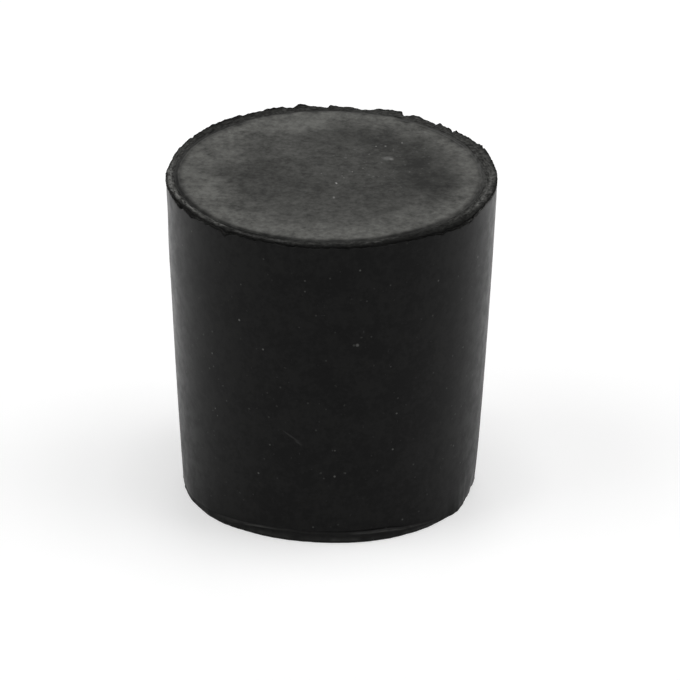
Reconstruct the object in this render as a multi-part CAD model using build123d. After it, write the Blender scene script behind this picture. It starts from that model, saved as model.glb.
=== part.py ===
from build123d import *
from math import cos, radians, sin
import os

# Solid rubber stopper, moulded in one piece. It stands on its small end, with its axis on Z.
# The tapered side bulges a little. A shallow crease sets off a low foot at the small end.
# At the wide end a fine groove, a little off centre, rings the flat face. Round it runs a land
# that ends in a thin fin of moulding flash, torn down unevenly all the way round.

# Plug: both ends, the height of the flat face and the bulge of the side
small_end_diameter = 25.0
wide_end_diameter = 27.8
plug_height = 28.3
side_bulge = 0.12

# Foot at the small end, and the crease above it
foot_height = 0.9
foot_bevel = 0.12
crease_width = 0.3
crease_depth = 0.06

# Groove round the flat face, how far it lies off centre towards -X, and the land outside it
land_width = 0.6
land_drop = 0.03
groove_width = 0.3
groove_depth = 0.15
groove_offset = 0.2

# Lip that stands out over the side, and the fin of flash on top of it
lip_overhang = 0.03
lip_height = 0.4
flash_rise = 0.27
flash_root = 0.3
flash_tip = 0.1

# Tears: the deepest one below the top of the fin, and how far a tear reaches in over the land
tear_depth = 0.6
tear_reach = 0.75

# Nicks where the edge of the foot was trimmed
nick_width = 0.9
nick_depth = 0.12
nick_height = 0.4
nick_angles = (-14, -36, 118, 197)

# How far a cut runs past what it cuts
cut_overrun = 1.0

# Torn edge: an angle from +X in degrees, and the share of the deepest tear at that angle.
# The back right is the most ragged, the back left stands highest, the front is nearly level.
torn_edge_shares = (
    (0, 0.35), (12, 0.40), (24, 0.18), (30, 0.48), (37, 0.64), (39, 0.58), (40.5, 1.00),
    (43.5, 0.62), (45.5, 0.65), (48, 0.30), (50, 0.78), (55, 0.60), (60, 0.26), (63.5, 0.75),
    (65.5, 0.15), (70, 0.30), (73.5, 0.35), (75.5, 0.65), (80, 0.85), (83, 0.48), (86, 0.55),
    (90, 0.35), (92, 0.70), (96, 0.50), (101, 0.00), (104, 0.42), (106.5, 0.30), (108, 0.10),
    (113.5, 0.13), (118, 0.26), (125, 0.18), (134, 0.10), (140, 0.15), (150, 0.35), (165, 0.55),
    (174, 0.30), (180, 0.35), (195, 0.30), (210, 0.35), (222, 0.30), (229, 0.35), (231, 0.70),
    (233, 0.40), (245, 0.30), (258, 0.35), (272, 0.35), (285, 0.40), (297, 0.30), (308, 0.40),
    (311, 0.60), (315, 0.50), (319, 0.75), (323, 0.55), (327, 0.65), (331, 0.35), (340, 0.30),
    (350, 0.40), (360, 0.35),
)

small_end_radius = small_end_diameter / 2
wide_end_radius = wide_end_diameter / 2
lip_bottom = plug_height - lip_height
flash_top = plug_height + flash_rise
land_level = plug_height - land_drop
land_outer_radius = wide_end_radius - flash_root
face_radius = land_outer_radius - land_width - groove_width


def side_radius(z):
    """Radius of the straight taper from the small end to the underside of the lip."""
    top_radius = wide_end_radius - lip_overhang
    return small_end_radius + (top_radius - small_end_radius) * z / lip_bottom


def plug_body():
    """The profile from the axis round the foot, the side, the fin and the land, turned about the axis."""
    crease_top = foot_height + crease_width
    crease_middle = foot_height + crease_width / 2
    side_middle = (crease_top + lip_bottom) / 2
    side_start = (side_radius(crease_top), crease_top)
    side_end = (side_radius(lip_bottom), lip_bottom)
    foot_outline = Polyline(
        (0, 0),
        (side_radius(0) - foot_bevel, 0),
        (side_radius(foot_bevel), foot_bevel),
        (side_radius(foot_height), foot_height),
        (side_radius(crease_middle) - crease_depth, crease_middle),
        side_start,
    )
    side_outline = ThreePointArc(
        side_start, (side_radius(side_middle) + side_bulge, side_middle), side_end
    )
    rim_outline = Polyline(
        side_end,
        (wide_end_radius, lip_bottom + lip_overhang),
        (wide_end_radius, flash_top),
        (wide_end_radius - flash_tip, flash_top),
        (land_outer_radius, land_level),
        (0, land_level),
        (0, 0),
    )
    return revolve(Plane.XZ * make_face([foot_outline, side_outline, rim_outline]), Axis.Z)


def flat_face():
    """The disc of the flat face, which stands a little above the land."""
    disc = Cylinder(face_radius, land_drop, align=(Align.CENTER, Align.CENTER, Align.MIN))
    return Pos(-groove_offset, 0, land_level) * disc


def face_groove():
    """The vee of the groove round the flat face, as a ring."""
    corners = [
        (face_radius, plug_height),
        (face_radius + groove_width / 2, plug_height - groove_depth),
        (face_radius + groove_width, land_level),
        (face_radius + groove_width, plug_height),
    ]
    return Pos(-groove_offset, 0, 0) * revolve(Plane.XZ * make_face(Polyline(*corners, close=True)), Axis.Z)


def tear_section(angle, depth_share):
    """What is torn away at one angle: all above a line that falls from the land to the outer edge."""
    outward = (cos(radians(angle)), sin(radians(angle)), 0)
    radial_plane = Plane((0, 0, 0), x_dir=outward, z_dir=(outward[1], -outward[0], 0))
    fall = tear_depth * depth_share / tear_reach
    inner = wide_end_radius - tear_reach
    outer = wide_end_radius + cut_overrun
    corners = [
        (inner, flash_top),
        (outer, flash_top - fall * (outer - inner)),
        (outer, flash_top + cut_overrun),
        (inner, flash_top + cut_overrun),
    ]
    return radial_plane * make_face(Polyline(*corners, close=True))


def torn_ring():
    """The torn-away ring in two halves, each a ruled loft through the sections at its angles."""
    halves = []
    for start, end in ((0, 180), (180, 360)):
        sections = [
            tear_section(angle, depth_share)
            for angle, depth_share in torn_edge_shares
            if start <= angle <= end
        ]
        halves.append(loft(sections, ruled=True))
    return halves


def foot_nick(angle):
    """A wedge across the lower edge of the foot, deepest in its middle."""
    radius = side_radius(0)
    corners = [
        (radius - nick_depth, 0),
        (radius + cut_overrun, -nick_width / 2 * (nick_depth + cut_overrun) / nick_depth),
        (radius + cut_overrun, nick_width / 2 * (nick_depth + cut_overrun) / nick_depth),
    ]
    wedge = extrude(make_face(Polyline(*corners, close=True)), nick_height)
    return Rot(0, 0, angle) * wedge


stopper = plug_body() + flat_face() - face_groove() - torn_ring()
stopper = stopper - [foot_nick(angle) for angle in nick_angles]

os.makedirs("parts", exist_ok=True)
export_step(stopper, "parts/stopper.step")
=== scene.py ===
"""Black rubber stopper with a torn flash rim, dressed around its CAD frame on a white studio floor."""

import math

import bpy
import numpy as np
from mathutils import Matrix, Vector


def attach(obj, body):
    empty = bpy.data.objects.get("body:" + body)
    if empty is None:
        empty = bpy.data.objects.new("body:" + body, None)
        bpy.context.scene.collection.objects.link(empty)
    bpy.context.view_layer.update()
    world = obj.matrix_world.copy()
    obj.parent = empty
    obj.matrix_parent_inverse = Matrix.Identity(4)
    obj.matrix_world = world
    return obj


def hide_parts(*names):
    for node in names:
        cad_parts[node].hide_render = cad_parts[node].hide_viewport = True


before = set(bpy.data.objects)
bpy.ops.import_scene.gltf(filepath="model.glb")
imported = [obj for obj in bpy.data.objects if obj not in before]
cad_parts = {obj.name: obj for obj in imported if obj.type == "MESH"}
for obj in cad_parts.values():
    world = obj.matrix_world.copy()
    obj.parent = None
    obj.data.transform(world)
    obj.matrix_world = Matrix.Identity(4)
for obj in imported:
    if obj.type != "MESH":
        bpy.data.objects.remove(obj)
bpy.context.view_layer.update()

bl_info = {
    "name": "Rubber stopper",
    "version": (1, 0, 0),
    "blender": (4, 5, 0),
    "location": "3D View > Sidebar > Stopper",
    "description": "Builds a moulded rubber stopper with a torn flash rim, and its studio stage",
    "category": "Add Mesh",
}

CAD_NODE = "stopper"
PIECE_NAME = "moulded_plug"
MM = 0.001

# Grid of the plug: columns round the axis, rings of the side, and the regions that take their own finish
COLUMNS = 1024
SIDE_RINGS = 22
SIDE, RIM, TOP = range(3)

# Picture frame of the photograph, where the middle of the stopper lies in it, and the camera that takes it
PICTURE_PIXELS = 680
MIDDLE_PIXEL = (330.6, 326.5)
SENSOR_MM = 36.0
NEAR_CLIP = 0.01

# Soft lamps round the stopper: azimuth from +X and elevation in degrees, side in metres and power in watts
LAMP_DISTANCE = 0.7
SOFT_LAMPS = {
    "right_softbox": (0, 60, 0.45, 1.84),
    "left_softbox": (-165, 50, 0.45, 1.58),
    "top_softbox": (90, 89, 0.25, 1.35),
    "back_softbox": (90, 40, 0.25, 0.53),
}

# The CAD node's face lies inside a share of its widest radius, and its torn edge near that radius and face
FACE_SHARE = 0.95
NEAR_WALL = 0.02 * MM
NEAR_FACE = 0.35 * MM

# Fine sizes of the rim: notch under the torn wall, lean and least height of the wall, gap between it and the
# last ring of the side, inset of the land, and least height of a fin of flash
NOTCH_SIZE = 0.03 * MM
WALL_LEAN = 0.02 * MM
LEAST_WALL = 0.05 * MM
SIDE_GAP = 0.05 * MM
LAND_INSET = 0.012 * MM
FIN_HEIGHT = 0.03 * MM

# Spread of the unevenness of each surface, as a length or as a share of a height
LEDGE_GRAIN = 0.012 * MM
SIDE_GRAIN = 0.01 * MM
WALL_GRAIN = 0.012 * MM
LAND_GRAIN = 0.014 * MM
CREASE_WAVER = 0.03
WALL_WAVER = 0.2

# Most of the crease's height that the foot's bevel and half the crease's width may take up
BEVEL_LIMIT = 0.25
CREASE_LIMIT = 0.6

# Powers by which the land rises to its edge, with a fin of flash and without, and where its rounding starts
FIN_POWER = 3.0
LOW_POWER = 1.8
ROUND_START = 0.45

# Random fields round the plug: seed, and reach of their smoothing in columns
FIELDS = {
    "crease": (11, 8), "ledge": (12, 2), "long_streaks": (13, 10), "short_streaks": (14, 2.5),
    "side": (21, 50), "fine_teeth": (31, 1.2), "wall_height": (32, 3), "wall_wear": (33, 2),
    "wall": (34, 1.5), "land": (35, 1.6), "fine_patches": (36, 1.4), "broad_patches": (37, 5),
    "land_dust": (38, 2.0), "groove_dust": (39, 2.0), "dust_edge": (41, 3),
}

# Tables round the plug: degrees from +X towards +Y, with the front at 270, and a value at that angle.
# Reach of the foot past the small end's radius, in mm: it was trimmed unevenly.
FOOT_REACH = (
    (0, -0.1), (30, 0.08), (60, 0.16), (90, 0.05), (120, 0.18), (150, 0.12), (185, -0.06), (195, 0.02),
    (200, 0.12), (204, 0.18), (208, 0.17), (212, 0.18), (217, 0.27), (222, 0.29), (230, 0.22), (236, 0.12),
    (250, 0.04), (262, 0.0), (270, 0.03), (284, 0.14), (294, 0.2), (300, 0.16), (312, 0.16), (318, 0.12),
    (323, 0.09), (327, 0.21), (330, 0.21), (332.2, 0.1), (335.3, 0.03), (336.8, -0.11), (340.7, -0.16),
    (343, -0.2), (348, -0.26), (351, -0.29), (352, -0.2), (356, -0.15),
)
# How much of the foot's reach is a ledge under the crease, as a share: the rest is a flare of the side
LEDGE_SHARE = (
    (0, 0.0), (60, 0.0), (75, 1.0), (105, 1.0), (120, 0.0), (214, 0.0), (234, 1.0), (300, 1.0), (315, 0.0),
)
# Height of the crease above the foot, in mm: it is highest at the front and the back
CREASE_HEIGHT = (
    (0, 0.15), (45, 0.3), (90, 0.8), (135, 0.4), (180, 0.3), (195, 0.4), (205, 0.46), (216, 0.54),
    (226, 0.72), (240, 0.95), (252, 1.08), (270, 1.12), (290, 0.98), (299, 0.8), (306, 0.75), (314, 0.62),
    (322, 0.5), (330, 0.42), (345, 0.35),
)
# Depth of the crease, as a share: it runs out towards the sides
CREASE_SHARE = (
    (0, 0.05), (60, 0.2), (90, 0.9), (120, 0.2), (190, 0.2), (205, 0.35), (217, 0.3), (230, 0.15),
    (252, 0.5), (261, 1.2), (276, 1.25), (290, 1.0), (299, 0.35), (308, 0.05),
)
# How grey the shoulder under the crease is painted, as a share: rubbed grey, and a painted highlight on its
# ledge
SHOULDER_WEAR_AND_HIGHLIGHT = (
    (0, 0.3), (200, 0.2), (224, 0.3), (231, 1.0), (240, 1.4), (250, 1.2), (257, 0.5), (264, 0.2), (275, 0.2),
    (281, 0.5), (287, 0.8), (290, 1.4), (295, 1.3), (299, 0.6), (312, 0.4), (322, 0.2),
)
# Depth of the groove round the face, as a share: it is filled up at the back and on the right. The same share
# thins the groove's dust, which paints shade into the groove
GROOVE_SHARE = (
    (0, 0.25), (25, 0.12), (60, 0.12), (120, 0.25), (165, 0.5), (185, 0.9), (225, 1.0), (252, 0.8),
    (270, 0.35), (285, 0.7), (315, 0.35), (345, 0.45),
)
# Rounding of the outer edge of the land, in mm: the front is worn round
EDGE_ROUNDING = (
    (0, 0.04), (30, 0.0), (160, 0.0), (185, 0.04), (210, 0.09), (235, 0.14), (330, 0.14), (350, 0.08),
)
# Height of the dark torn wall under the outer edge, in mm
WALL_HEIGHT = (
    (0, 0.16), (90, 0.15), (160, 0.16), (167, 0.36), (174, 0.36), (180, 0.18), (192, 0.24), (203, 0.4),
    (212, 0.34), (224, 0.22), (230, 0.34), (234, 0.12), (270, 0.08), (305, 0.1), (313, 0.26), (326, 0.3),
    (334, 0.14),
)
# Reach of the rim past the wide end's radius, in mm
RIM_REACH = (
    (0, -0.02), (8, -0.04), (16, -0.07), (23, 0.03), (27, 0.04), (36, 0.0), (150, 0.0), (159, 0.02),
    (163, 0.01), (166, -0.05), (168.5, -0.13), (173, -0.12), (176, -0.07), (178.5, 0.04), (183, 0.06),
    (188, 0.11), (195, 0.07), (206, 0.0),
)
# Sharp teeth of the torn edge at the back: how far they stand above or below the CAD node's edge, in mm
CREST_TEETH = (
    (11, 0.0), (15, 0.08), (20, 0.1), (22.3, 0.04), (22.9, -0.02), (23.3, -0.18), (23.6, -0.24),
    (23.9, -0.16), (24.3, 0.03), (24.8, 0.05), (27, 0.0), (28.5, -0.05), (31.7, 0.06), (36, 0.12),
    (38.4, 0.03), (39.4, 0.08), (40.2, 0.28), (40.8, 0.4), (41.1, 0.08), (41.5, -0.24), (42.2, -0.32),
    (42.6, -0.2), (43.4, 0.06), (44.8, 0.0), (46.5, 0.0), (47.4, -0.1), (48.2, 0.02), (48.9, 0.16),
    (49.7, 0.04), (50.6, -0.08), (51.6, 0.0), (63.2, 0.0), (64.34, -0.15), (64.68, 0.17), (65.6, 0.0),
    (88.9, 0.0), (89.7, -0.03), (90.3, 0.06), (90.9, 0.19), (91.2, 0.08), (91.8, 0.0), (96.5, 0.0),
    (97.6, -0.05), (99.2, -0.06), (100.2, 0.0), (101, 0.05), (102.3, 0.14), (103, 0.05), (103.6, 0.0),
)
# Where the strip of wear and painted highlight lies across the land, from the groove at 0 to the outer edge
# at 1
STRIP_PLACE = (
    (10, 0.7), (90, 0.5), (165, 0.66), (195, 0.52), (212, 0.36), (240, 0.56), (255, 0.54), (270, 0.22),
    (285, 0.35), (300, 0.1), (315, 0.1), (330, 0.45), (345, 0.42),
)
# How grey the strip is painted, as a share: rubbed grey, and a painted highlight along the land
STRIP_WEAR_AND_HIGHLIGHT = (
    (0, 0.24), (15, 0.16), (30, 0.08), (120, 0.0), (150, 0.08), (168, 0.3), (180, 0.7), (195, 1.0),
    (206, 0.65), (225, 0.62), (230, 0.1), (236, 0.24), (255, 0.2), (270, 0.08), (285, 0.26), (298, 0.09),
    (318, 0.08), (330, 0.16), (345, 0.3),
)
# How dusty the rest of the land is, as a share
RIM_DUST = (
    (0, 0.26), (45, 0.21), (75, 0.24), (90, 0.15), (105, 0.2), (135, 0.15), (180, 0.24), (195, 0.09),
    (225, 0.07), (240, 0.03), (270, 0.1), (285, 0.05), (300, 0.05), (345, 0.2),
)
# How grey the torn wall is rubbed, as a share
WALL_WEAR = (
    (0, 0.36), (12, 0.16), (30, 0.06), (150, 0.05), (172, 0.14), (182, 0.26), (190, 0.28), (198, 0.12),
    (225, 0.09), (238, 0.05), (318, 0.05), (330, 0.22), (344, 0.46), (356, 0.46),
)
# Radius at which the dust of the face ends, in mm
DUST_EDGE = (
    (0, 12.4), (45, 12.4), (60, 12.55), (75, 12.6), (105, 12.85), (135, 12.65), (150, 12.8), (165, 12.7),
    (225, 12.8), (255, 12.6), (285, 12.6), (300, 12.4), (322, 12.6), (345, 12.4),
)

# How grey each ring of the foot is painted, as a share, from the lowest ring up: its edge and its shoulder.
# It is rubbed grey, with a painted reflection along the lower edge and a painted highlight on the shoulder
EDGE_RUB_AND_REFLECTION = (0.6, 0.8, 1.4, 1.4, 0.6, 2.0, 0.3, 0.3) + (0.4,) * 9
SHOULDER_RUB_AND_HIGHLIGHT = (0.0,) * 7 + (0.9, 2.6, 2.6) + (1.6,) * 7

# Half-widths of the strip of wear and painted highlight, the chips and the beads across the land, as shares
# of it
STRIP_HALF = 0.27
CHIP_HALF = 0.12
BEAD_HALF = 0.1
# Chips of pale rubber on the land: degrees, place across the land, half-width in degrees, and strength
RIM_CHIPS = (
    (178.0, 0.8, 0.7, 0.55), (183.5, 0.55, 0.9, 0.5), (190.0, 0.62, 0.6, 0.45), (227.5, 0.45, 1.0, 0.6),
    (335.0, 0.55, 0.7, 0.4), (340.5, 0.5, 0.6, 0.5), (347.0, 0.72, 0.8, 0.5), (352.0, 0.45, 0.6, 0.4),
    (3.0, 0.7, 0.7, 0.35), (42.0, 0.5, 0.5, 0.25), (58.0, 0.65, 0.6, 0.2),
)
# Small pale and dark beads on the land: seed, arcs in degrees with a number of beads, and the least and the
# most of their place, half-width in degrees and strength
BEAD_SEED = 42
BEAD_ARCS = ((-28, 34, 46), (158, 202, 26))
BEAD_LEAST = (0.1, 0.3, -0.16)
BEAD_MOST = (0.9, 0.55, 0.3)
# Raggedness of the dust's edge in mm: all round, and how much more straight at the back
RAGGED_ROUND = 0.05
RAGGED_BACK = 0.07

# Patches of the dust on the face: x, y and half-widths in mm, turn in degrees, and how much dust they add
DUST_PATCHES = (
    (7.0, 1.0, 4.0, 7.0, 0, -0.2), (8.8, -1.6, 2.4, 4.4, 8, -0.16), (4.0, 7.0, 4.6, 2.6, -20, -0.2),
    (2.2, 9.0, 2.8, 1.4, -5, -0.16), (9.0, 4.6, 2.2, 3.4, 25, -0.14), (7.4, 2.6, 1.6, 2.2, 0, -0.12),
    (-6.0, 0.5, 3.2, 3.0, 0, -0.09), (-2.8, -1.8, 2.8, 1.6, 0, -0.1), (-5.6, -3.4, 2.6, 1.6, -10, -0.06),
    (-8.2, 8.0, 2.6, 1.6, 42, 0.12), (-8.4, 8.5, 2.4, 0.8, 44, 0.14), (-11.3, 3.3, 1.5, 2.4, 12, 0.2),
    (-3.0, 9.6, 4.2, 1.8, 6, 0.14), (-2.2, 10.6, 2.0, 0.5, 8, 0.16), (-3.4, 4.6, 4.2, 2.6, 0, 0.15),
    (-10.6, -3.0, 1.5, 3.4, 10, 0.08), (0.0, -7.6, 7.0, 2.4, 0, 0.12), (-3.4, 0.4, 1.8, 0.5, 25, 0.06),
    (9.4, 2.0, 2.2, 4.2, 5, -0.21), (7.8, 4.4, 2.2, 2.4, 0, -0.12), (8.7, -5.3, 2.4, 1.8, 20, -0.26),
    (7.3, -7.5, 1.9, 1.2, 40, -0.12), (-9.8, 0.9, 2.3, 2.8, 0, -0.24), (-6.8, -6.4, 2.6, 1.8, -30, -0.16),
    (-1.6, 1.8, 2.4, 1.6, 0, 0.08), (-2.0, -5.4, 2.6, 1.4, 0, 0.08), (-8.4, 0.0, 2.6, 4.4, 0, -0.12),
    (-7.2, 4.0, 1.6, 1.6, 0, -0.1), (-7.4, -7.0, 1.8, 1.4, -40, -0.16), (10.2, -0.4, 2.0, 3.6, 0, -0.18),
    (6.6, 7.0, 2.2, 1.4, -30, -0.1), (-1.6, 9.2, 2.0, 1.0, 5, -0.1), (2.2, 9.2, 2.4, 1.2, -5, -0.1),
    (-0.2, 5.4, 1.2, 1.4, 0, 0.12),
)
# Flecks on the face: x and y in mm, half-widths in mm, turn in degrees and strength
FACE_FLECKS = (
    (4.66, 3.42, 0.62, 0.52, 20, 0.26), (5.0, 3.26, 0.26, 0.3, 0, 0.34), (0.37, -1.6, 0.11, 0.26, 15, 1.0),
    (0.17, -4.4, 0.14, 0.3, 0, 0.45), (3.7, 5.8, 0.09, 0.16, 0, 0.6), (4.5, 5.85, 0.12, 0.18, 0, 0.45),
    (5.9, 6.55, 0.09, 0.2, 0, 0.5), (1.7, 0.7, 0.08, 0.16, 0, 0.5), (2.6, 1.4, 0.07, 0.14, 0, 0.4),
    (1.0, -0.5, 0.07, 0.15, 0, 0.45), (-0.9, 0.3, 0.07, 0.14, 0, 0.35), (3.1, 0.1, 0.07, 0.14, 0, 0.35),
)
# How deep the masks of patches and flecks reach through the face, in mm
PATCH_DEPTH = 5.0
FLECK_DEPTH = 1.0
# Clear specks on the side: degrees from the front towards +X, height in mm, size in mm and strength
SIDE_SPECKS = (
    (9.5, 19.0, 0.15, 0.75), (8.3, 19.0, 0.11, 0.35), (-34, 20.2, 0.1, 0.9), (2, 6.5, 0.1, 0.75),
    (-24.5, 18.0, 0.09, 0.75), (24, 8.6, 0.09, 0.75), (10, 26.0, 0.09, 0.65), (-27.5, 6.0, 0.09, 0.65),
    (25, 12.0, 0.09, 0.6), (2, 9.0, 0.08, 0.5), (-47.5, 16.0, 0.09, 0.55), (-22.5, 9.0, 0.08, 0.5),
    (40.5, 23.6, 0.09, 0.5), (-9, 25.0, 0.08, 0.45), (-9, 24.0, 0.08, 0.42), (-47, 10.8, 0.08, 0.5),
    (-46, 10.2, 0.08, 0.4), (29.5, 1.5, 0.09, 0.42), (6, 6.8, 0.08, 0.36), (-2, 6.3, 0.07, 0.34),
    (54, 6.8, 0.09, 0.4), (56, 16.0, 0.09, 0.34), (63, 23.8, 0.12, 0.4), (21, 24.3, 0.08, 0.3),
    (22, 16.6, 0.08, 0.32), (-33, 23.6, 0.08, 0.3), (-47, 14.8, 0.08, 0.3), (-6, 1.5, 0.09, 0.35),
)
# How much larger the soft masks of these specks are, and a factor on their strength
SPECK_SPREAD = 1.35
SPECK_STRENGTH = 0.43
# Faint specks all through the side: cells per mm, size in mm and strength
FAINT_SPECKS = (0.62, 0.12, 0.1)
# Scratches on the front: degrees from the front, height and half-length in mm, and slope in degrees
SIDE_SCRATCHES = ((-14, 10.1, 1.35, 33), (-11.6, 9.6, 0.5, 36))
# Half-depth and half-width of the masks of scratches in mm, and their strength
SCRATCH_DEPTH = 0.5
SCRATCH_WIDTH = 0.11
SCRATCH_STRENGTH = 0.06
# Solid share of the masks of specks and scratches
SPECK_SOLID = 0.3
# Low swells of the side: degrees and height in mm, half-widths in degrees and mm, and rise in mm
SIDE_SWELLS = ((184, 21.6, 24, 2.6, 0.05), (186, 26.9, 20, 1.0, 0.04))

# Spans of a noise that count in the finishes: most of it, and its middle
MOST_NOISE = (0.25, 0.75)
MIDDLE_NOISE = (0.3, 0.7)
# Layers of the side's bloom and of the face's dust: waves per mm, and swing either way
CLOUD_WAVES = 0.3
BLOOM_LAYERS = ((0.7, 0.3), (1.5, 0.5), (3.2, 0.35))
DUST_LAYERS = ((0.9, 0.23), (2.2, 0.22), (5.0, 0.14))
# Dust of the face, in mm: middle of its thin part, radii between which it grows thick, how far a cloudy noise
# shifts these, and half the width in which it runs out at its edge
DUST_MIDDLE = (0.5, 0.0)
DUST_RADII = (7.6, 11.8)
DUST_SHIFT = 1.2
DUST_FADE = 0.38
# Middle and half-width of the part of the face that has fine dots, in mm
DOTTED_MIDDLE = (4.0, 2.0)
DOTTED_HALF = 8.0
# Heights and places to the right between which the dullness of the side changes, in mm
LOW_HEIGHTS = (2.0, 16.0)
HIGH_HEIGHTS = (20.0, 26.0)
RIGHT_PLACES = (7.0, 12.0)
# Finishes: roughness, specular level, and waves per mm, strength and height of the bumps. The roughness of
# the side only holds the place of its map.
SIDE_FINISH = (0.34, 0.085, 3.0, 0.12, 0.02 * MM)
RIM_FINISH = (0.9, 0.01, 3.5, 0.4, 0.03 * MM)
TOP_FINISH = (0.68, 0.06, 3.5, 0.25, 0.03 * MM)
UNTURNED = (0, 0, 0)
# Sockets of the Mix node that hold its factor, its two colours and its result
MIX_FACTOR, MIX_FIRST, MIX_SECOND, MIX_RESULT = 0, 6, 7, 2


def cad_points():
    """The CAD node's own points, as radii, angles and heights."""
    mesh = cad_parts[CAD_NODE].data
    flat = np.empty(len(mesh.vertices) * 3)
    mesh.vertices.foreach_get("co", flat)
    x, y, z = flat.reshape(-1, 3).T
    return np.hypot(x, y), np.arctan2(y, x), z


CAD_RADII, CAD_ANGLES, CAD_HEIGHTS = cad_points()
WIDE_RADIUS = float(CAD_RADII.max())
FACE_HEIGHT = float(CAD_HEIGHTS[CAD_RADII < FACE_SHARE * WIDE_RADIUS].max())


def number(name, description, default, **more):
    """A number that a user may change."""
    return bpy.props.FloatProperty(name=name, description=description, default=default, **more)


def length(name, description, default):
    """A size in metres that a user may change."""
    return number(name, description, default, unit="LENGTH", precision=5, min=0.0)


def angle(name, description, degrees):
    """An angle that a user may change."""
    return number(name, description, math.radians(degrees), subtype="ANGLE")


def colour(name, description, default):
    """A linear colour that a user may change."""
    return bpy.props.FloatVectorProperty(
        name=name, description=description, default=default, subtype="COLOR", size=3, min=0.0, max=1.0
    )


class StopperSizes(bpy.types.PropertyGroup):
    """Sizes of the plug, its foot and its rim."""

    small_radius: length("Small end", "Radius of the small end", 12.5 * MM)
    wide_radius: length("Wide end", "Radius of the wide end, over its rim", WIDE_RADIUS)
    face_height: length("Height", "Height of the flat face on the wide end", FACE_HEIGHT)
    side_bulge: length("Side bulge", "How far the side bulges half way up", 0.12 * MM)
    side_inset: length("Side inset", "How far the side starts inside the small end's radius", 0.04 * MM)
    flare_height: length("Flare height", "How far up the foot's uneven reach shows in the side", 1.5 * MM)
    foot_bevel: length("Foot bevel", "Rounding of the lower edge of the foot", 0.12 * MM)
    # How far the foot is painted grey: rubbed wear, and painted light as a reflection on its edge and a
    # highlight on its shoulder
    foot_scuff_and_highlight: number("Foot scuff", "How far the foot is rubbed grey, as a share", 0.06)
    crease_width: length("Crease width", "Half the width of the crease above the foot", 0.23 * MM)
    crease_depth: length("Crease depth", "Depth of the crease above the foot", 0.06 * MM)
    rim_overhang: length("Rim overhang", "How far the rim stands out over the side", 0.012 * MM)
    face_radius: length("Face radius", "Radius of the flat face inside the groove", 12.68 * MM)
    face_shift: length("Face shift", "How far the groove lies off centre, to the left", 0.2 * MM)
    groove_width: length("Groove width", "Width of the groove round the face", 0.32 * MM)
    groove_depth: length("Groove depth", "Depth of the groove round the face", 0.13 * MM)
    land_drop: length("Land drop", "How far the inner edge of the land lies below the face", 0.03 * MM)
    land_crown: length("Land crown", "Rise of the middle of the land", 0.03 * MM)
    tear_grain: length("Tear grain", "Height of the fine teeth along the torn edge", 0.03 * MM)


class RubberFinish(bpy.types.PropertyGroup):
    """Colours of the rubber and of the dust on it."""

    rubber: colour("Rubber", "Black of the moulded side", (0.0042, 0.0042, 0.0042))
    haze: colour("Haze", "Faint bloom on the side", (0.0088, 0.0088, 0.0086))
    torn: colour("Torn rubber", "Black of the torn rim", (0.005, 0.005, 0.0049))
    # This grey is rubbed wear and dust, and also painted light: highlights painted on the foot and along the
    # land's strip
    worn_and_highlight: colour("Worn rubber", "Grey of the rubbed parts of the rim and the foot", (0.15, 0.15, 0.143))
    face: colour("Face", "Dark grey of the barest parts of the face", (0.014, 0.014, 0.013))
    dust: colour("Dust", "Grey of the thickest dust, towards the edge of the face", (0.125, 0.125, 0.117))
    fleck: colour("Flecks", "Pale specks of dust and lint", (0.3, 0.3, 0.29))


class StudioSetup(bpy.types.PropertyGroup):
    """Camera and light of the studio."""

    camera_distance: length("Camera distance", "From the camera to the middle of the stopper", 0.695)
    camera_elevation: angle("Camera elevation", "Angle that the camera looks down by", 26.15)
    camera_roll: angle("Camera roll", "Turn of the camera about its own axis", 0.53)
    focal_pixels: number("Focal length", "Focal length of the lens in pixels of the picture", 8213.0)
    floor_size: length("Floor size", "Side of the square floor", 6.0)
    floor: colour("Floor", "White of the studio floor, as it lights the stopper", (0.95, 0.95, 0.95))
    floor_lit: colour("Lit floor", "Share of the floor's white that shows the shadow", (0.67, 0.67, 0.67))
    floor_glow: number("Floor glow", "Share of the floor's white that shows no shadow", 0.45)
    surround: number("Surround", "Level of the even light from all round", 0.08)


def smoothed(rows, reach):
    """Rows round the plug, smoothed by a Gaussian over reach columns."""
    waves = np.fft.rfftfreq(COLUMNS)
    damping = np.exp(-2.0 * (np.pi * waves * reach) ** 2)
    return np.fft.irfft(np.fft.rfft(rows, axis=-1) * damping, COLUMNS, axis=-1)


def grain(field, rows=1):
    """Seeded random rows of one field, each smoothed round the plug, with a spread of one."""
    seed, reach = FIELDS[field]
    drawn = smoothed(np.random.default_rng(seed).standard_normal((rows, COLUMNS)), reach)
    return drawn / drawn.std()


def patchy(rows, middle, swings, least, most):
    """A middle value plus random fields, each times its swing, held between the least and the most."""
    total = middle
    for field, swing in swings.items():
        total = total + swing * grain(field, rows)
    return np.clip(total, least, most)


def round_table(angles, table, reach=4):
    """A table of degrees and values, joined up by straight lines round the plug and then smoothed."""
    degrees, values = np.array(table, dtype=float).T
    return smoothed(np.interp(np.degrees(angles), degrees, values, period=360), reach)


def column(values):
    """One value for each ring, as a column that spreads round the plug."""
    return np.array(values, dtype=float)[:, None]


def degrees_past(angles, degrees):
    """How far each angle lies past one in degrees, from -180 to 180."""
    return (np.degrees(angles) - degrees + 180) % 360 - 180


def bell(*shares):
    """A Gaussian bump: e to the power of minus the sum of the squared shares of its half-widths."""
    return np.exp(-sum(share ** 2 for share in shares))


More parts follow.
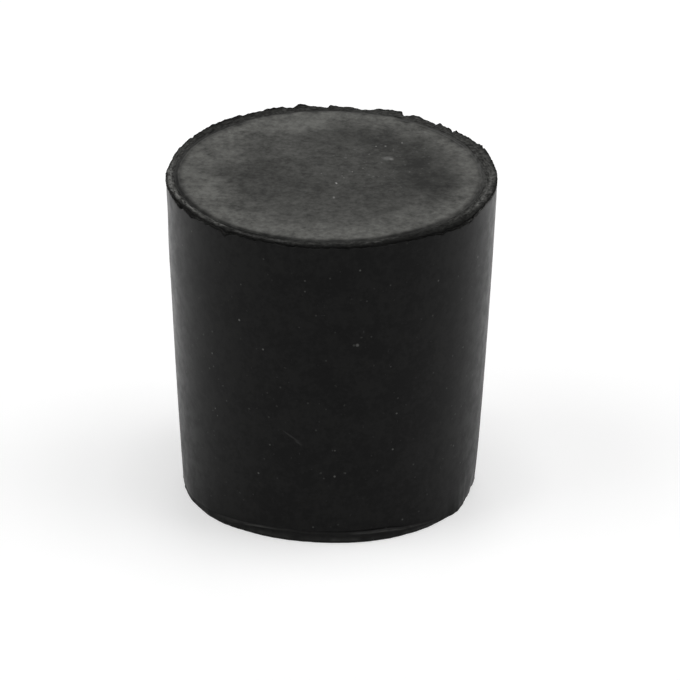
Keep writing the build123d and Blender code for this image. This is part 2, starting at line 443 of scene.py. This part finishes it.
def torn_edge(angles):
    """Height of the torn edge above the face: the top of the CAD node's outer wall, joined up all round."""
    on_wall = CAD_RADII > WIDE_RADIUS - NEAR_WALL
    crest = on_wall & (CAD_HEIGHTS > FACE_HEIGHT - NEAR_FACE)
    return np.interp(angles, CAD_ANGLES[crest], CAD_HEIGHTS[crest] - FACE_HEIGHT, period=2 * math.pi)


def side_radius(sizes, heights):
    """Taper from the small end to the rim, plus a bulge that is a parabola in height."""
    start = sizes.small_radius - sizes.side_inset
    end = sizes.wide_radius - sizes.rim_overhang
    share = heights / sizes.face_height
    return start + (end - start) * share + sizes.side_bulge * 4 * share * (1 - share)


def foot_reach(sizes, angles):
    """How far the foot stands out past the taper of the side, split into a ledge and a flare."""
    reach = sizes.side_inset + round_table(angles, FOOT_REACH, reach=1.5) * MM
    share = round_table(angles, LEDGE_SHARE)
    return reach * share, reach * (1 - share)


def flared_radius(sizes, angles, heights):
    """The side with the flare of its foot, which fades upwards as an exponential."""
    flare = foot_reach(sizes, angles)[1]
    return side_radius(sizes, heights) + flare * np.exp(-heights / sizes.flare_height)


def foot_rings(sizes, angles):
    """The flat small end, the rounded edge of the foot, its wall and the crease above it.

    The edge is a quarter circle. From the wall of the foot the ledge and the crease fall in along half a
    cosine wave, and from the bottom of the crease the radius climbs back to the side along a parabola. The
    wear is a share for each ring, plus the shoulder's share times its table, times random streaks, and it
    fades with the fall: it is rubbed grey, plus a painted reflection along the lower edge and a painted
    highlight on the shoulder. Returns radii, heights and this wear with painted light, and apart from them
    how far each point was trimmed.
    """
    crease = round_table(angles, CREASE_HEIGHT) * MM * (1 + CREASE_WAVER * grain("crease")[0])
    bevel = np.minimum(sizes.foot_bevel, BEVEL_LIMIT * crease)
    depth = sizes.crease_depth * round_table(angles, CREASE_SHARE)
    width = np.minimum(sizes.crease_width, CREASE_LIMIT * crease)
    flat = column((0.25, 0.6, 0.9))
    turn = column(np.radians(np.linspace(0, 90, 5)))
    rise = column((0.3, 0.75, 1.0))
    fall = column((0.25, 0.5, 0.7, 0.87, 1.0))
    climb = column((0.2, 0.45, 0.75, 1.0))
    heights = np.vstack([
        bevel * (1 - np.cos(turn)),
        bevel + (crease - width - bevel) * rise,
        crease - width * (1 - fall),
        crease + width * climb,
    ])
    drop = 0.5 - 0.5 * np.cos(math.pi * fall)
    fallen = np.vstack([np.zeros_like(turn), np.zeros_like(rise), drop, np.ones_like(climb)])
    cut = np.vstack([
        bevel * (1 - np.sin(turn)),
        np.zeros((len(rise), COLUMNS)),
        depth * drop,
        depth * (1 - climb) ** 2,
    ])
    ledge = foot_reach(sizes, angles)[0] + LEDGE_GRAIN * grain("ledge")[0]
    radii = flared_radius(sizes, angles, heights) + ledge * (1 - fallen) - cut
    # The foot's grey is partly rubbed wear and partly painted light: a painted reflection along the lower
    # edge and a painted highlight on the shoulder
    rub_and_painted_light = column(EDGE_RUB_AND_REFLECTION) + column(SHOULDER_RUB_AND_HIGHLIGHT) * round_table(angles, SHOULDER_WEAR_AND_HIGHLIGHT)
    streaks = patchy(len(radii), 0.9, {"long_streaks": 0.45, "short_streaks": 0.35}, least=0.0, most=2.5)
    wear_and_painted_light = sizes.foot_scuff_and_highlight * rub_and_painted_light * (1 - fallen) * streaks
    trimmed = np.vstack([np.ones_like(flat), 1 - fallen]) * np.ones(COLUMNS)
    underside = np.zeros((len(flat), COLUMNS))
    rings = (
        np.vstack([radii[0] * flat, radii]), np.vstack([underside, heights]), np.vstack([underside, wear_and_painted_light])
    )
    return rings, trimmed


def side_rings(sizes, angles, start, end):
    """The side between two rows of heights, with a faint unevenness and swells that are Gaussian both ways.

    The rings crowd towards both ends as a cosine, so that the shading of the edges stays narrow, and the
    unevenness fades to both ends as a sine. Returns radii, heights and no wear.
    """
    shares = column((0.5 - 0.5 * np.cos(np.linspace(0, math.pi, SIDE_RINGS + 2)))[1:-1])
    heights = start + (end - start) * shares
    wave = SIDE_GRAIN * grain("side") * np.sin(math.pi * shares)
    for degrees, height, half, tall, rise in SIDE_SWELLS:
        swell = bell(degrees_past(angles, degrees) / half, (heights / MM - height) / tall)
        wave = wave + rise * MM * swell
    return flared_radius(sizes, angles, heights) + wave, heights, np.zeros_like(heights)


def rim_lines(sizes, angles):
    """Lines round the rim: heights of crest and edge above the face, outer radius, and bottom of the wall.

    The crest is the CAD node's torn edge plus sharp teeth and a random grain. The edge lies below it by its
    rounding. The bottom of the torn wall lies its own uneven height below the edge, or below the face where
    the edge stands above it.
    """
    teeth = round_table(angles, CREST_TEETH, reach=0.4) * MM
    crest = torn_edge(angles) + teeth + sizes.tear_grain * grain("fine_teeth")[0]
    edge = crest - round_table(angles, EDGE_ROUNDING) * MM
    outer = sizes.wide_radius + round_table(angles, RIM_REACH, reach=3) * MM
    wall = round_table(angles, WALL_HEIGHT, reach=3) * MM * (1 + WALL_WAVER * grain("wall_height")[0])
    low = sizes.face_height + np.minimum(edge, 0.0) - np.maximum(wall, LEAST_WALL)
    return crest, edge, outer, low


def wall_rings(sizes, angles, low, edge, outer):
    """The torn wall under the rim's edge: a fine notch, then a rough wall that leans in towards its bottom.

    The wear is its table times a random field. Returns radii, heights and wear.
    """
    climb = column((0.15, 0.4, 0.65, 0.85))
    notch = side_radius(sizes, low)
    height = sizes.face_height + edge - low
    rough = WALL_GRAIN * grain("wall", len(climb))
    radii = np.vstack([notch, notch - NOTCH_SIZE, outer - WALL_LEAN * (1 - climb) + rough])
    heights = np.vstack([low - NOTCH_SIZE, low, low + height * climb])
    streaks = patchy(len(radii), 1.0, {"wall_wear": 0.6}, least=0.0, most=2.2)
    return radii, heights, round_table(angles, WALL_WEAR) * streaks


def land_wear_and_highlight(angles, across):
    """How far the points of the land are rubbed grey or dusty, and where a highlight is painted along their
    strip.

    It is a strip that is Gaussian across the land and broken up by random fields, plus an uneven dust that
    thins out towards the edge as a power of the place, plus chips and beads that are Gaussian both ways.
    """
    rows = len(across)
    strip = bell((across - round_table(angles, STRIP_PLACE)) / STRIP_HALF)
    broken = patchy(rows, 0.75, {"fine_patches": 0.4, "broad_patches": 0.2}, least=0.05, most=1.8)
    uneven = patchy(rows, 1.0, {"land_dust": 0.35}, least=0.1, most=2.0)
    dust = round_table(angles, RIM_DUST) * (1 - across ** 6) * uneven
    # The strip is rubbed grey and also a painted highlight along the land's crown
    wear_and_painted_light = round_table(angles, STRIP_WEAR_AND_HIGHLIGHT, reach=2) * strip * broken + dust
    for degrees, place, half, strength in RIM_CHIPS:
        wear_and_painted_light += strength * bell(degrees_past(angles, degrees) / half, (across - place) / CHIP_HALF)
    random = np.random.default_rng(BEAD_SEED)
    for degrees in np.concatenate([random.uniform(*arc) for arc in BEAD_ARCS]):
        place, half, strength = random.uniform(BEAD_LEAST, BEAD_MOST)
        wear_and_painted_light += strength * bell(degrees_past(angles, degrees) / half, (across - place) / BEAD_HALF)
    return np.maximum(wear_and_painted_light, 0.0)


def land_rings(sizes, angles, face_edge, crest, outer):
    """The land from the torn edge in to the groove.

    Across the land from the groove at 0 to the edge at 1, the height runs from the land's drop to the crest
    along a power of the place, with a parabola for the crown, less a parabola for the worn edge, and a random
    grain that fades at the edge. Returns radii, heights, and wear with a painted highlight along the strip.
    """
    across = column((1.0, 0.96, 0.9, 0.82, 0.72, 0.62, 0.52, 0.42, 0.32, 0.22, 0.12, 0.04))
    inner = face_edge + sizes.groove_width
    radii = inner + (outer - LAND_INSET - inner) * across
    power = np.where(crest > FIN_HEIGHT, FIN_POWER, LOW_POWER)
    crown = sizes.land_crown * 4 * across * (1 - across)
    worn_share = np.clip((across - ROUND_START) / (1 - ROUND_START), 0, 1)
    rounding = round_table(angles, EDGE_ROUNDING) * MM * worn_share ** 2
    base = -sizes.land_drop + (crest + sizes.land_drop) * across ** power + crown - rounding
    heights = sizes.face_height + base + LAND_GRAIN * grain("land", len(across)) * (1 - across ** 8)
    return radii, heights, land_wear_and_highlight(angles, across)


def groove_rings(sizes, angles, face_edge):
    """The groove round the face, half a sine wave across its width.

    Its dust is the land's, less where the groove is deep, which paints shade into the groove. Returns radii,
    heights, and this dust with painted shade as wear.
    """
    place = column((1.0, 0.85, 0.68, 0.5, 0.32, 0.15, 0.0))
    share = round_table(angles, GROOVE_SHARE)
    wave = np.sin(math.pi * place)
    radii = face_edge + sizes.groove_width * place
    heights = sizes.face_height - sizes.groove_depth * share * wave - sizes.land_drop * place
    uneven = patchy(len(place), 1.0, {"groove_dust": 0.35}, least=0.1, most=2.0)
    # The dust thins where the groove is deep: painted shade in the groove
    return radii, heights, round_table(angles, RIM_DUST) * (1 - share * wave) * uneven


def face_rings(sizes, face_edge):
    """The flat face inside the groove, as shares of its edge. Returns radii, heights and no wear."""
    radii = face_edge * column((0.99, 0.97, 0.93, 0.86, 0.76, 0.62, 0.46, 0.3, 0.14))
    return radii, np.full_like(radii, sizes.face_height), np.zeros_like(radii)


def dust_line(angles):
    """Radius in mm at which the dust of the face ends: its table plus a random field.

    The spread of that field is even all round, plus a part that grows as the sine of the angle at the back.
    """
    ragged = RAGGED_ROUND + RAGGED_BACK * np.maximum(np.sin(angles), 0.0)
    return round_table(angles, DUST_EDGE) + ragged * grain("dust_edge")[0]


def plug_grid(sizes):
    """Angles, radii, heights, regions and point attributes of every ring, from the small end to the face.

    Each ring is a radius and a height as functions of the angle. The regions name the finish of the band
    above each ring. Wear says how far the rubber of the foot and the rim is rubbed grey or dusty, and it also
    holds painted light: painted highlights on the foot and along the land's strip, and painted shade where
    the groove's dust thins. Trimmed is one on the foot, and dust_edge is the radius in mm at which the dust
    of the face ends.
    """
    angles = np.linspace(0, 2 * math.pi, COLUMNS, endpoint=False)
    crest, edge, outer, low = rim_lines(sizes, angles)
    face_edge = sizes.face_radius - sizes.face_shift * np.cos(angles)
    foot, foot_trim = foot_rings(sizes, angles)
    crease_top = foot[1][-1]
    parts = (
        (SIDE, foot),
        (SIDE, side_rings(sizes, angles, crease_top, low - SIDE_GAP)),
        (RIM, wall_rings(sizes, angles, low, edge, outer)),
        (RIM, land_rings(sizes, angles, face_edge, crest, outer)),
        (TOP, groove_rings(sizes, angles, face_edge)),
        (TOP, face_rings(sizes, face_edge)),
    )
    radii, heights, wear_and_painted_light = (np.vstack(rows) for rows in zip(*(rings for finish, rings in parts)))
    regions = np.concatenate([np.full(len(rings[0]), finish) for finish, rings in parts])
    trimmed = np.zeros_like(radii)
    trimmed[:len(foot_trim)] = foot_trim
    dust_edge = np.broadcast_to(dust_line(angles), radii.shape)
    return angles, radii, heights, regions, {"wear_and_painted_light": wear_and_painted_light, "trimmed": trimmed, "dust_edge": dust_edge}


def grid_mesh(name, angles, radii, heights, regions, attributes):
    """A closed mesh of rings: quads between rings, and a fan of triangles at each pole."""
    rings = len(radii)
    points = np.stack([radii * np.cos(angles), radii * np.sin(angles), heights], -1).reshape(-1, 3)
    poles = np.array([[0, 0, heights[0].mean()], [0, 0, heights[-1].mean()]])
    here = np.arange(COLUMNS)
    after = np.roll(here, -1)
    base = (np.arange(rings - 1) * COLUMNS)[:, None]
    quads = np.stack([base + here, base + after, base + COLUMNS + after, base + COLUMNS + here], -1)
    last = (rings - 1) * COLUMNS
    low_fan = np.stack([np.full(COLUMNS, rings * COLUMNS), after, here], -1)
    high_fan = np.stack([last + here, last + after, np.full(COLUMNS, rings * COLUMNS + 1)], -1)
    corners = np.concatenate([quads.ravel(), low_fan.ravel(), high_fan.ravel()])
    counts = np.concatenate([np.full((rings - 1) * COLUMNS, 4), np.full(2 * COLUMNS, 3)])
    starts = np.concatenate([[0], np.cumsum(counts)[:-1]])
    finish = np.concatenate([
        np.repeat(regions[:-1], COLUMNS), np.full(COLUMNS, SIDE), np.full(COLUMNS, TOP)
    ])
    mesh = bpy.data.meshes.new(name)
    mesh.vertices.add(len(points) + len(poles))
    mesh.vertices.foreach_set("co", np.vstack([points, poles]).ravel().astype(np.float32))
    mesh.loops.add(len(corners))
    mesh.loops.foreach_set("vertex_index", corners.astype(np.int32))
    mesh.polygons.add(len(counts))
    mesh.polygons.foreach_set("loop_start", starts.astype(np.int32))
    mesh.polygons.foreach_set("material_index", finish.astype(np.int32))
    mesh.polygons.foreach_set("use_smooth", np.ones(len(counts), dtype=bool))
    mesh.update(calc_edges=True)
    for key, values in attributes.items():
        stored = mesh.attributes.new(key, "FLOAT", "POINT")
        at_poles = values[[0, -1], 0]
        stored.data.foreach_set("value", np.append(values.ravel(), at_poles).astype(np.float32))
    if mesh.validate(verbose=False):
        raise RuntimeError("the plug's grid has faulty faces")
    return mesh


def add_object(name, data):
    """A new object in the scene."""
    made = bpy.data.objects.new(name, data)
    bpy.context.scene.collection.objects.link(made)
    return made


def add_node(tree, kind, inputs=(), **settings):
    """Adds one node. inputs maps a socket's name or number to a value or to another node's output."""
    made = tree.nodes.new(kind)
    for key, value in settings.items():
        setattr(made, key, value)
    for key, value in dict(inputs).items():
        if isinstance(value, bpy.types.NodeSocket):
            tree.links.new(value, made.inputs[key])
        else:
            made.inputs[key].default_value = value
    return made


def empty_tree(owner):
    """The node tree of a material or a world, emptied."""
    owner.use_nodes = True
    owner.node_tree.nodes.clear()
    return owner.node_tree


def rgba(values):
    """A colour with an alpha of one."""
    return (*values, 1.0)


def maths(tree, operation, first, second):
    """One operation on two values."""
    return add_node(tree, "ShaderNodeMath", {0: first, 1: second}, operation=operation).outputs[0]


def vectors(tree, operation, inputs, output):
    """One operation on vectors, and the output that is wanted of it."""
    return add_node(tree, "ShaderNodeVectorMath", inputs, operation=operation).outputs[output]


def millimetres(tree):
    """Object coordinates in millimetres."""
    place = add_node(tree, "ShaderNodeTexCoord").outputs["Object"]
    return vectors(tree, "SCALE", {0: place, "Scale": 1 / MM}, "Vector")


def attribute(tree, name):
    """A value that is stored on the points of the plug."""
    return add_node(tree, "ShaderNodeAttribute", attribute_name=name).outputs["Fac"]


def noise(tree, place, waves, detail=3.0, roughness=0.55):
    """A noise from 0 to 1, with a number of waves per millimetre."""
    inputs = {"Vector": place, "Scale": waves, "Detail": detail, "Roughness": roughness}
    return add_node(tree, "ShaderNodeTexNoise", inputs).outputs["Fac"]


def ramp(tree, value, span, target=(0.0, 1.0)):
    """Maps a span to another along a smooth step, and holds it beyond."""
    (low, high), (start, end) = span, target
    inputs = {"Value": value, "From Min": low, "From Max": high, "To Min": start, "To Max": end}
    return add_node(tree, "ShaderNodeMapRange", inputs, interpolation_type="SMOOTHSTEP").outputs["Result"]


def layered(tree, start, place, layers, detail, roughness):
    """A value plus layers of noise, each with its waves per mm and its swing either way."""
    total = start
    for waves, swing in layers:
        layer = noise(tree, place, waves, detail, roughness)
        total = maths(tree, "ADD", total, ramp(tree, layer, MOST_NOISE, (-swing, swing)))
    return total


def blend(tree, factor, first, second):
    """Mixes two colours."""
    inputs = {MIX_FACTOR: factor, MIX_FIRST: first, MIX_SECOND: second}
    return add_node(tree, "ShaderNodeMix", inputs, data_type="RGBA").outputs[MIX_RESULT]


def tinted(tree, shade, tint, mask, strength):
    """A shade with a tint over it, as far as a mask times a strength."""
    return blend(tree, maths(tree, "MULTIPLY", mask, strength), shade, rgba(tint))


def spot(tree, place, centre, halves, turn, solid):
    """A soft oval mask: one inside, and falling to nought at its edge from a solid share of its size."""
    inputs = {"Vector": place, "Location": centre, "Rotation": turn, "Scale": halves}
    local = add_node(tree, "ShaderNodeMapping", inputs, vector_type="TEXTURE").outputs["Vector"]
    far = vectors(tree, "LENGTH", {0: local}, "Value")
    return ramp(tree, far, (solid, 1.0), (1.0, 0.0))


def scatter(tree, place, cells, size):
    """Round specks, one in each cell of space: one inside, and falling to nought at their size in mm."""
    solid = 0.35
    far = add_node(tree, "ShaderNodeTexVoronoi", {"Vector": place, "Scale": cells}).outputs["Distance"]
    return ramp(tree, far, (solid * size * cells, size * cells), (1.0, 0.0))


def on_side(sizes, degrees, height):
    """The place on the side, in mm, at an angle from the front towards +X and a height in mm."""
    turn = math.radians(degrees)
    radius = side_radius(sizes, height * MM) / MM
    return (radius * math.sin(turn), -radius * math.cos(turn), height)


def on_face(sizes, x, y):
    """The place on the face, in mm."""
    return (x, y, sizes.face_height / MM)


def side_colour(tree, place, scene):
    """Black rubber under a layered bloom, with dots, specks and scratches, and grey where the foot is worn,
    with a painted reflection and a painted highlight.
    """
    finish, sizes = scene.stopper_finish, scene.stopper_sizes
    bloom = ramp(tree, noise(tree, place, CLOUD_WAVES), MOST_NOISE)
    bloom = layered(tree, bloom, place, BLOOM_LAYERS, detail=2.0, roughness=0.55)
    shade = blend(tree, maths(tree, "MAXIMUM", bloom, 0.0), rgba(finish.rubber), rgba(finish.haze))
    dots = ramp(tree, noise(tree, place, 2.6, detail=1.0), span=(0.72, 0.84), target=(0.0, 0.1))
    shade = blend(tree, dots, shade, rgba(finish.fleck))
    cells, size, strength = FAINT_SPECKS
    shade = tinted(tree, shade, finish.fleck, scatter(tree, place, cells, size), strength)
    for degrees, height, size, strength in SIDE_SPECKS:
        halves = (SPECK_SPREAD * size,) * 3
        mask = spot(tree, place, on_side(sizes, degrees, height), halves, UNTURNED, SPECK_SOLID)
        shade = tinted(tree, shade, finish.fleck, mask, SPECK_STRENGTH * strength)
    for degrees, height, half, slope in SIDE_SCRATCHES:
        halves = (half, SCRATCH_DEPTH, SCRATCH_WIDTH)
        turn = (0, math.radians(slope), 0)
        mask = spot(tree, place, on_side(sizes, degrees, height), halves, turn, SPECK_SOLID)
        shade = tinted(tree, shade, finish.fleck, mask, SCRATCH_STRENGTH)
    # Grey of the foot: rubbed wear, with a painted reflection along its edge and a painted highlight on its
    # shoulder
    return blend(tree, attribute(tree, "wear_and_painted_light"), shade, rgba(finish.worn_and_highlight))


def side_roughness(tree, place):
    """Patchy gloss, duller low down, on the right below the rim, and on the trimmed foot."""
    gloss = ramp(tree, noise(tree, place, 0.9, 4.0, 0.65), MIDDLE_NOISE, target=(0.28, 0.39))
    axes = add_node(tree, "ShaderNodeSeparateXYZ", {"Vector": place}).outputs
    low_down = ramp(tree, axes["Z"], LOW_HEIGHTS, target=(0.08, 0.0))
    right = ramp(tree, axes["X"], RIGHT_PLACES, target=(0.0, 0.035))
    below_rim = ramp(tree, axes["Z"], HIGH_HEIGHTS, target=(1.0, 0.0))
    trimmed = ramp(tree, attribute(tree, "trimmed"), span=(0.2, 0.8), target=(0.0, 0.16))
    dulled = maths(tree, "ADD", gloss, low_down)
    dulled = maths(tree, "ADD", dulled, maths(tree, "MULTIPLY", right, below_rim))
    return maths(tree, "ADD", dulled, trimmed)


def rim_colour(tree, place, scene):
    """Black torn rubber, rubbed and dusted grey in grains as far as the wear of its points, with a painted
    highlight along the land's strip.
    """
    finish = scene.stopper_finish
    grains = ramp(tree, noise(tree, place, 4.0, 3.0, 0.6), MIDDLE_NOISE, target=(0.6, 1.4))
    # Grey of the rim: wear and dust, with a painted highlight along the land's strip
    return tinted(tree, rgba(finish.torn), finish.worn_and_highlight, attribute(tree, "wear_and_painted_light"), grains)


def face_dust(tree, place, sizes):
    """How thick the dust of the face is, from the bare grey at 0 to the thickest dust at 1.

    It grows with the distance from a middle that lies a little to the right, along a smooth step that a
    cloudy noise shifts in and out. Patches are added to it, and then layers of noise that swing more where
    there is more dust.
    """
    cloud = noise(tree, place, CLOUD_WAVES)
    ring = vectors(tree, "DISTANCE", {0: place, 1: on_face(sizes, *DUST_MIDDLE)}, "Value")
    wavering = maths(tree, "ADD", ring, ramp(tree, cloud, MOST_NOISE, (-DUST_SHIFT, DUST_SHIFT)))
    amount = ramp(tree, wavering, DUST_RADII, target=(0.27, 0.67))
    for x, y, along, across, turn, strength in DUST_PATCHES:
        halves = (along, across, PATCH_DEPTH)
        mask = spot(tree, place, on_face(sizes, x, y), halves, (0, 0, math.radians(turn)), solid=0.0)
        amount = maths(tree, "ADD", amount, maths(tree, "MULTIPLY", mask, strength))
    swing = ramp(tree, cloud, MOST_NOISE, target=(-0.09, 0.09))
    swing = layered(tree, swing, place, DUST_LAYERS, detail=3.0, roughness=0.6)
    least_swing = 0.22
    uneven = maths(tree, "MULTIPLY", swing, maths(tree, "ADD", amount, least_swing))
    return maths(tree, "MAXIMUM", maths(tree, "ADD", amount, uneven), 0.0)


def top_colour(tree, place, scene):
    """Dusty grey with dots in its middle and flecks, bare past the dust's edge, and grey as far as the
    groove's dust, which thins as painted shade where the groove is deep.
    """
    finish, sizes = scene.stopper_finish, scene.stopper_sizes
    shade = blend(tree, face_dust(tree, place, sizes), rgba(finish.face), rgba(finish.dust))
    dots = ramp(tree, noise(tree, place, 3.0, detail=0.0), span=(0.72, 0.82), target=(0.0, 0.16))
    halves = (DOTTED_HALF, DOTTED_HALF, PATCH_DEPTH)
    dotted = spot(tree, place, on_face(sizes, *DOTTED_MIDDLE), halves, UNTURNED, solid=0.3)
    shade = tinted(tree, shade, finish.fleck, dots, dotted)
    for x, y, along, across, turn, strength in FACE_FLECKS:
        halves = (along, across, FLECK_DEPTH)
        mask = spot(tree, place, on_face(sizes, x, y), halves, (0, 0, math.radians(turn)), solid=0.2)
        shade = tinted(tree, shade, finish.fleck, mask, strength)
    flat = vectors(tree, "MULTIPLY", {0: place, 1: (1.0, 1.0, 0.0)}, "Vector")
    radius = vectors(tree, "LENGTH", {0: flat}, "Value")
    past_dust = maths(tree, "SUBTRACT", radius, attribute(tree, "dust_edge"))
    shade = blend(tree, ramp(tree, past_dust, (-DUST_FADE, DUST_FADE)), shade, rgba(finish.torn))
    # Grey of the groove: its dust, thinned where the groove is deep as painted shade
    return blend(tree, attribute(tree, "wear_and_painted_light"), shade, rgba(finish.worn_and_highlight))


def rubber_material(name, settings, scene, paint, dulling=None):
    """A material with one principled shader, whose colour, bumps and dulling follow the place on the plug."""
    roughness, specular, waves, strength, height = settings
    material = bpy.data.materials.new(name)
    tree = empty_tree(material)
    place = millimetres(tree)
    bumps = {"Height": noise(tree, place, waves), "Strength": strength, "Distance": height}
    shader = add_node(tree, "ShaderNodeBsdfPrincipled", {
        "Base Color": paint(tree, place, scene),
        "Roughness": roughness,
        "Specular IOR Level": specular,
        "Normal": add_node(tree, "ShaderNodeBump", bumps).outputs["Normal"],
    })
    if dulling:
        tree.links.new(dulling(tree, place), shader.inputs["Roughness"])
    add_node(tree, "ShaderNodeOutputMaterial", {"Surface": shader.outputs["BSDF"]})
    return material


class STOPPER_OT_plug(bpy.types.Operator):
    """Build the moulded plug with its torn rim and its rubber finish"""

    bl_idname = "stopper.plug"
    bl_label = "Moulded plug"

    def execute(self, context):
        scene = context.scene
        mesh = grid_mesh(PIECE_NAME, *plug_grid(scene.stopper_sizes))
        for name, settings, *maps in (
            ("moulded_side", SIDE_FINISH, side_colour, side_roughness),
            ("torn_rim", RIM_FINISH, rim_colour),
            ("dusty_top", TOP_FINISH, top_colour),
        ):
            mesh.materials.append(rubber_material(name, settings, scene, *maps))
        plug = add_object(PIECE_NAME, mesh)
        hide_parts(CAD_NODE)
        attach(plug, "root")
        return {"FINISHED"}


def soft_light(name, azimuth, elevation, size, power, target):
    """A square area lamp at a set distance from a point, which it looks at. The azimuth is from +X."""
    turn = math.radians(azimuth)
    rise = math.radians(elevation)
    out = Vector((math.cos(rise) * math.cos(turn), math.cos(rise) * math.sin(turn), math.sin(rise)))
    lamp = bpy.data.lights.new(name, "AREA")
    lamp.size = size
    lamp.energy = power
    aim = (-out).to_track_quat("-Z", "Y").to_matrix().to_4x4()
    add_object(name, lamp).matrix_world = Matrix.Translation(target + out * LAMP_DISTANCE) @ aim


def add_camera(studio, middle):
    """A camera that looks down on the middle of the stopper and holds it at its pixel of the picture."""
    elevation = studio.camera_elevation
    forward = Vector((0.0, math.cos(elevation), -math.sin(elevation)))
    right = Vector((1.0, 0.0, 0.0))
    up = right.cross(forward)
    roll = studio.camera_roll
    rolled_right = right * math.cos(roll) + up * math.sin(roll)
    rolled_up = up * math.cos(roll) - right * math.sin(roll)
    place = middle - forward * studio.camera_distance
    pixel = studio.camera_distance / studio.focal_pixels
    aside = (PICTURE_PIXELS / 2 - MIDDLE_PIXEL[0]) * pixel
    below = (PICTURE_PIXELS / 2 - MIDDLE_PIXEL[1]) * pixel
    look = (middle + rolled_right * aside - rolled_up * below - place).normalized()
    across = look.cross(rolled_up).normalized()
    turn = Matrix((across, across.cross(look), -look)).transposed()
    lens = bpy.data.cameras.new("studio_camera")
    lens.sensor_width = SENSOR_MM
    lens.lens = studio.focal_pixels / PICTURE_PIXELS * SENSOR_MM
    lens.clip_start = NEAR_CLIP
    camera = add_object("studio_camera", lens)
    camera.matrix_world = Matrix.Translation(place) @ turn.to_4x4()
    bpy.context.scene.camera = camera


def seen_directly(tree):
    """One for rays from the camera, a mirror or glass, and nought for the light that falls on things."""
    path = add_node(tree, "ShaderNodeLightPath").outputs
    either = maths(tree, "MAXIMUM", path["Is Camera Ray"], path["Is Glossy Ray"])
    return maths(tree, "MAXIMUM", either, path["Is Transmission Ray"])


def floor_material(studio):
    """White floor. What is seen of it is part lit, which keeps the shadow, and part glowing white."""
    material = bpy.data.materials.new("white_floor")
    tree = empty_tree(material)
    plain = add_node(tree, "ShaderNodeBsdfDiffuse", {"Color": rgba(studio.floor)})
    lit = add_node(tree, "ShaderNodeBsdfDiffuse", {"Color": rgba(studio.floor_lit)})
    glow = add_node(tree, "ShaderNodeEmission", {"Strength": studio.floor_glow})
    both = add_node(tree, "ShaderNodeAddShader", {0: lit.outputs[0], 1: glow.outputs[0]})
    shown = add_node(
        tree, "ShaderNodeMixShader", {0: seen_directly(tree), 1: plain.outputs[0], 2: both.outputs[0]}
    )
    add_node(tree, "ShaderNodeOutputMaterial", {"Surface": shown.outputs[0]})
    return material


def add_floor(studio):
    """A square white floor under the stopper."""
    half = studio.floor_size / 2
    corners = [(-half, -half, 0), (half, -half, 0), (half, half, 0), (-half, half, 0)]
    mesh = bpy.data.meshes.new("studio_floor")
    mesh.from_pydata(corners, [], [(0, 1, 2, 3)])
    mesh.materials.append(floor_material(studio))
    floor = add_object("studio_floor", mesh)


def add_surround(studio):
    """Even light from all round, seen by the camera and in reflections as white."""
    world = bpy.data.worlds.new("studio_surround")
    tree = empty_tree(world)
    level = add_node(
        tree, "ShaderNodeMapRange", {"Value": seen_directly(tree), "To Min": studio.surround, "To Max": 1.0}
    )
    sky = add_node(tree, "ShaderNodeBackground", {"Color": (1, 1, 1, 1), "Strength": level.outputs["Result"]})
    add_node(tree, "ShaderNodeOutputWorld", {"Surface": sky.outputs["Background"]})
    bpy.context.scene.world = world


class STOPPER_OT_stage(bpy.types.Operator):
    """Build the white floor, the soft lights and the camera"""

    bl_idname = "stopper.stage"
    bl_label = "Studio stage"

    def execute(self, context):
        studio = context.scene.stopper_studio
        middle = Vector((0.0, 0.0, context.scene.stopper_sizes.face_height / 2))
        add_floor(studio)
        add_surround(studio)
        for name, settings in SOFT_LAMPS.items():
            soft_light(name, *settings, middle)
        add_camera(studio, middle)
        context.scene.view_settings.view_transform = "Standard"
        return {"FINISHED"}


class STOPPER_PT_panel(bpy.types.Panel):
    """Sizes, finish and studio of the stopper"""

    bl_label = "Rubber stopper"
    bl_idname = "STOPPER_PT_panel"
    bl_space_type = "VIEW_3D"
    bl_region_type = "UI"
    bl_category = "Stopper"

    def draw(self, context):
        layout = self.layout
        for group in GROUPS:
            settings = getattr(context.scene, group)
            rows = layout.column(align=True)
            for key in settings.__annotations__:
                rows.prop(settings, key)
        layout.operator(STOPPER_OT_plug.bl_idname)
        layout.operator(STOPPER_OT_stage.bl_idname)


GROUPS = {"stopper_sizes": StopperSizes, "stopper_finish": RubberFinish, "stopper_studio": StudioSetup}
CLASSES = (*GROUPS.values(), STOPPER_OT_plug, STOPPER_OT_stage, STOPPER_PT_panel)


def register():
    for each in CLASSES:
        bpy.utils.register_class(each)
    for name, group in GROUPS.items():
        setattr(bpy.types.Scene, name, bpy.props.PointerProperty(type=group))


def unregister():
    for name in GROUPS:
        delattr(bpy.types.Scene, name)
    for each in reversed(CLASSES):
        bpy.utils.unregister_class(each)


def main():
    register()
    bpy.ops.stopper.plug()
    bpy.ops.stopper.stage()


if __name__ == "__main__":
    main()
